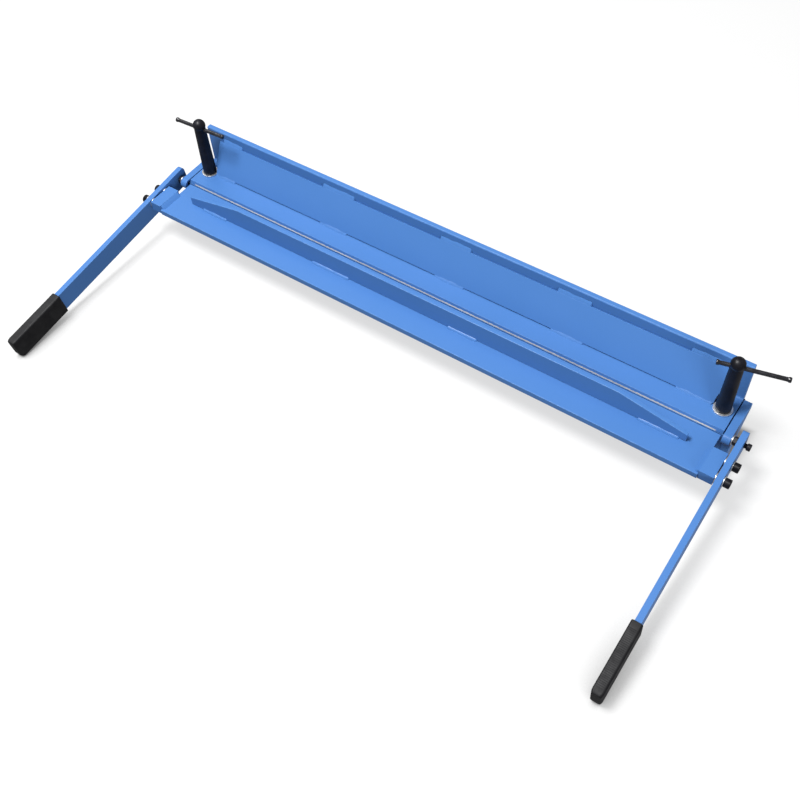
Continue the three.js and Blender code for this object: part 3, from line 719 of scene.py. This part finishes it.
def flat_ring(node, name, bore):
    """Washer with rounded rims and a chamfered bore, about its own short axis."""
    low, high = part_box(node)
    size = high - low
    axis = min(range(3), key=lambda i: size[i])
    direction = Vector([1.0 if i == axis else 0.0 for i in range(3)])
    outer = max(size) / 2
    half = size[axis] / 2
    edge = min(0.35 * MM, half * 0.6)
    bulge = edge * 0.3
    profile = [
        (outer - edge, -half), (outer - bulge, -half + bulge), (outer, -half + edge),
        (outer, half - edge), (outer - bulge, half - bulge), (outer - edge, half),
        (bore + edge, half), (bore, half - edge), (bore, -half + edge), (bore + edge, -half),
    ]
    bm = loft([circle(radius, z) for radius, z in profile], closed=True)
    bm.transform(axis_frame((low + high) / 2, direction))
    add_piece(name, bm, ZINC, replaces=node)


def lift_spring(side):
    """Coil with closed ends, standing between its seat and the jaw."""
    node = f"lift_spring_{side}"
    low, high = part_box(node)
    centre = (low + high) / 2
    wire = 1.0 * MM
    coil = (high.x - low.x) / 2 - wire
    turns = 5
    steps = WIRE_STEPS_PER_TURN * turns
    closed_share = 0.16
    rise = high.z - low.z - 2 * wire
    rings = []
    for k in range(steps + 1):
        turn = 2 * math.pi * turns * k / steps
        lift = (k / steps - closed_share) / (1 - 2 * closed_share)
        out = Vector((math.cos(turn), math.sin(turn), 0))
        hub = out * coil + UP * (low.z + wire + rise * min(max(lift, 0), 1))
        ring = []
        for i in range(WIRE_FACETS):
            around = 2 * math.pi * i / WIRE_FACETS
            ring.append(hub + (out * math.cos(around) + UP * math.sin(around)) * wire)
        rings.append(ring)
    bm = loft(rings)
    bm.transform(Matrix.Translation((centre.x, centre.y, 0)))
    start = Vector((centre.x, centre.y, low.z + 2 * wire))
    end = Vector((centre.x, centre.y, high.z - 2 * wire))
    add_piece(f"lift_coil_{side}", bm, SPRING, replaces=node,
              stretch=("base", "clamp_beam", start, end))


def threaded_stud(side):
    """Clamp stud with a rolled thread along its whole length and chamfered ends."""
    node = f"clamp_stud_{side}"
    low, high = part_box(node)
    centre = (low + high) / 2
    radius = (high.x - low.x) / 2
    pitch = 1.75 * MM
    depth = 0.9 * MM
    flank_slope = 2.6
    chamfer = 1.2 * MM
    steps = round((high.z - low.z) / (pitch / THREAD_STEPS_PER_PITCH))
    rings = []
    for k in range(steps + 1):
        z = low.z + (high.z - low.z) * k / steps
        near_end = min(z - low.z, high.z - z)
        limit = radius - max(0.0, chamfer - near_end)
        ring = []
        for i in range(THREAD_FACETS):
            turn = 2 * math.pi * i / THREAD_FACETS
            phase = (z / pitch - i / THREAD_FACETS) % 1
            groove = depth * min(1, flank_slope * abs(phase - 0.5))
            reach = min(radius - depth + groove, limit)
            ring.append(Vector((reach * math.cos(turn), reach * math.sin(turn), z)))
        rings.append(ring)
    bm = loft(rings)
    bm.transform(Matrix.Translation((centre.x, centre.y, 0)))
    add_piece(f"stud_thread_{side}", bm, OXIDE, replaces=node)


def hex_nut(node, name, flats, bore, direction, material):
    """Nut chamfered on both faces, its thread's bore countersunk at each end."""
    low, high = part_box(node)
    size = high - low
    half = abs(size.dot(direction)) / 2
    countersink = 0.7 * MM
    outside = hex_stack(flats, -half, half)
    inside = [
        circle(bore + countersink, half), circle(bore, half - countersink),
        circle(bore, -half + countersink), circle(bore + countersink, -half),
    ]
    bm = loft(outside + inside, closed=True)
    bm.transform(axis_frame((low + high) / 2, direction))
    add_piece(name, bm, material, replaces=node)


def clamping():
    for side in SIDES:
        clamp_post(side)
        tommy_bar(side)
        flat_ring(f"thrust_washer_{side}", f"post_washer_{side}", STUD_BORE)
        rounded(f"spring_cup_{side}", 0.6 * MM)
        lift_spring(side)
        threaded_stud(side)
        hex_nut(f"stud_nut_{side}", f"stud_hex_{side}", STUD_NUT_FLATS, STUD_BORE, UP, ZINC)


# ---------------------------------------------------------------- screws and pivots

PIVOT_SCREW = {"shank": 3.4 * MM, "head": 5 * MM, "head_height": 5.4 * MM, "socket_flats": 5 * MM}
ARM_SCREW = {"shank": 4 * MM, "head": 6.5 * MM, "head_height": 8 * MM, "socket_flats": 6 * MM}


def cap_screw(node, name, side, shank, head, head_height, socket_flats):
    """Socket cap screw, turned from the tip of its shank to its head and hexagon socket.

    The shank and the head are radii.
    """
    low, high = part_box(node)
    length = high.x - low.x
    centre = (low + high) / 2
    under_head = length - head_height
    socket_mouth = 0.62 * head
    socket_chamfer = 0.3 * MM
    socket_floor = length - 0.5 * head_height
    socket_point = 0.6 * MM
    corners = [
        (TIP_RADIUS, 0), (shank, 0), (shank, under_head), (head, under_head), (head, length),
        (socket_mouth, length),
    ]
    rings = rounded_turning(corners, radius=0.7 * MM)
    rings += [
        hexagon(socket_flats, length - socket_chamfer, head),
        hexagon(socket_flats, socket_floor, head),
        circle(TIP_RADIUS, socket_floor - socket_point),
    ]
    bm = loft(rings)
    tip = Vector((low.x if side == "right" else high.x, centre.y, centre.z))
    bm.transform(axis_frame(tip, outward(side)))
    add_piece(name, bm, OXIDE, replaces=node)


def fasteners():
    for side in SIDES:
        cap_screw(f"pivot_screw_{side}", f"pivot_pin_{side}", side, **PIVOT_SCREW)
        flat_ring(f"pivot_washer_{side}", f"pivot_ring_{side}", PIVOT_BORE)
        hex_nut(f"pivot_nut_{side}", f"pivot_hex_{side}", PIVOT_NUT_FLATS, PIVOT_BORE,
                outward(side), OXIDE)
        for place in ("rear", "front"):
            spot = f"{place}_{side}"
            cap_screw(f"arm_screw_{spot}", f"cap_screw_{spot}", side, **ARM_SCREW)
            flat_ring(f"screw_washer_{spot}", f"head_washer_{spot}", ARM_SCREW_BORE)
            flat_ring(f"arm_spacer_{spot}", f"spacer_ring_{spot}", ARM_SCREW_BORE)


# ---------------------------------------------------------------- grips


def rounded_rectangle(half_width, half_height, radius, y, centre_x, centre_z, per_corner=8):
    """A ring across local Y with rounded corners."""
    ring = []
    for quarter, (sx, sz) in enumerate(((1, 1), (-1, 1), (-1, -1), (1, -1))):
        for i in range(per_corner + 1):
            turn = math.pi / 2 * (quarter + i / per_corner)
            x = centre_x + sx * (half_width - radius) + radius * math.cos(turn)
            z = centre_z + sz * (half_height - radius) + radius * math.sin(turn)
            ring.append(Vector((x, y, z)))
    return ring


def grip(side):
    """Moulded sleeve: a socket round the arm, ribbed narrow edges, and a blind front end.

    The front end is rounded all round and its lower edge is swept up.
    """
    node = f"grip_{side}"
    low, high = box_in(node, ARM_FRAME)
    arm_low, arm_high = box_in(f"arm_{side}", ARM_FRAME)
    centre_x = (low.x + high.x) / 2
    centre_z = (low.z + high.z) / 2
    half_width = (high.x - low.x) / 2
    half_height = (high.z - low.z) / 2
    corner = 3.0 * MM
    rib_pitch = 2.6 * MM
    rib_depth = 0.2 * MM
    plain_end = 9 * MM
    clearance = 0.3 * MM
    socket_corner = 0.8 * MM
    mouth_flare = 0.8 * MM
    mouth_depth = 1.0 * MM
    rim = 0.9 * MM
    rim_bulge = 0.3 * MM
    end_length = 7.5 * MM
    end_inset = 2.4 * MM
    end_lift = 6.0 * MM

    def section(y, inset, lift=0.0):
        return rounded_rectangle(half_width - inset, half_height - inset - lift / 2, corner, y,
                                 centre_x, centre_z + lift / 2)

    def socket(y, inset=0.0):
        return rounded_rectangle(
            (arm_high.x - arm_low.x) / 2 + clearance + inset,
            (arm_high.z - arm_low.z) / 2 + clearance + inset,
            socket_corner, y, centre_x, (arm_low.z + arm_high.z) / 2,
        )

    rings = [
        socket(arm_low.y - clearance), socket(high.y - mouth_depth), socket(high.y, mouth_flare),
        section(high.y, rim), section(high.y - rim_bulge, rim_bulge), section(high.y - rim, 0),
    ]
    ribs_from = high.y - plain_end
    ribs_to = low.y + plain_end
    steps = round((ribs_from - ribs_to) / rib_pitch) * RIB_STEPS
    for k in range(steps + 1):
        y = ribs_from + (ribs_to - ribs_from) * k / steps
        wave = 0.5 - 0.5 * math.cos(2 * math.pi * k / RIB_STEPS)
        height = half_height - rib_depth * wave
        rings.append(rounded_rectangle(half_width, height, corner, y, centre_x, centre_z))
    for k in range(GRIP_END_STEPS + 1):
        turn = math.pi / 2 * k / GRIP_END_STEPS
        drawn_in = 1 - math.cos(turn)
        y = low.y + end_length * (1 - math.sin(turn))
        rings.append(section(y, end_inset * drawn_in, end_lift * drawn_in))
    bm = loft(rings)
    bm.transform(ARM_FRAME)
    add_piece(f"grip_sleeve_{side}", bm, RUBBER, replaces=node)


# ---------------------------------------------------------------- studio


def camera():
    """Looks down on the brake from the operator's right, over a metre above the bench."""
    azimuth = math.radians(37.81)
    elevation = math.radians(52.89)
    roll = math.radians(-4.11)
    station = Vector((0.59613, -0.84887, 1.11855)) + BEND_AXIS
    forward = Vector((
        -math.sin(azimuth) * math.cos(elevation),
        math.cos(azimuth) * math.cos(elevation),
        -math.sin(elevation),
    ))
    level = Vector((math.cos(azimuth), math.sin(azimuth), 0))
    upright = level.cross(forward)
    right = level * math.cos(roll) + upright * math.sin(roll)
    up = upright * math.cos(roll) - level * math.sin(roll)
    data = bpy.data.cameras.new("camera")
    data.sensor_width = 36
    data.lens = 46.363
    made = bpy.data.objects.new("camera", data)
    turn = Matrix((right, up, -forward)).transposed()
    made.matrix_world = Matrix.Translation(station) @ turn.to_4x4()
    bpy.context.scene.collection.objects.link(made)
    bpy.context.scene.camera = made


def soft_light(name, place, size, power, glossy=True):
    """A round lamp that shines at the middle of the machine."""
    data = bpy.data.lights.new(name, "AREA")
    data.shape = "DISK"
    data.size = size
    data.energy = power
    light = bpy.data.objects.new(name, data)
    place = Vector(place)
    light.location = place
    light.rotation_euler = (STUDIO_MIDDLE - place).to_track_quat("-Z", "Y").to_euler()
    light.visible_camera = False
    light.visible_glossy = glossy
    bpy.context.scene.collection.objects.link(light)


def white_room():
    """White walls: soft fill for the object, and plain white behind the far edge of the floor."""
    world = bpy.data.worlds.new("studio")
    world.use_nodes = True
    nodes = world.node_tree.nodes
    links = world.node_tree.links
    walls = nodes["Background"]
    walls.inputs["Color"].default_value = (1, 1, 1, 1)
    seen = nodes.new("ShaderNodeLightPath").outputs["Is Camera Ray"]
    strength = nodes.new("ShaderNodeMapRange")
    strength.inputs["To Min"].default_value = ROOM_FILL
    strength.inputs["To Max"].default_value = ROOM_WHITE
    links.new(seen, strength.inputs["Value"])
    links.new(strength.outputs["Result"], walls.inputs["Strength"])
    return world


def studio():
    """White floor, three lamps and a white room."""
    bm = bmesh.new()
    bmesh.ops.create_grid(bm, x_segments=8, y_segments=8, size=FLOOR_HALF_WIDTH)
    mesh = bpy.data.meshes.new("floor")
    bm.to_mesh(mesh)
    bm.free()
    mesh.materials.append(studio_floor())
    floor = bpy.data.objects.new("floor", mesh)
    bpy.context.scene.collection.objects.link(floor)
    # the glow whitens the picture but doesn't light the machine's sides from below
    floor.visible_diffuse = False
    floor.visible_glossy = False

    soft_light("key", place=(-0.70, -0.88, 3.05), size=1.1, power=168)
    soft_light("overhead", place=(-1.5, 0.45, 2.55), size=1.3, power=18)
    soft_light("side_fill", place=(2.6, -1.2, 0.6), size=1.2, power=46, glossy=False)
    bpy.context.scene.world = white_room()
    bpy.context.scene.view_settings.view_transform = "Standard"


camera()
steelwork()
clamping()
fasteners()
for side in SIDES:
    grip(side)
panel_welds()
rib_welds()
block_welds()
base_welds()
studio()
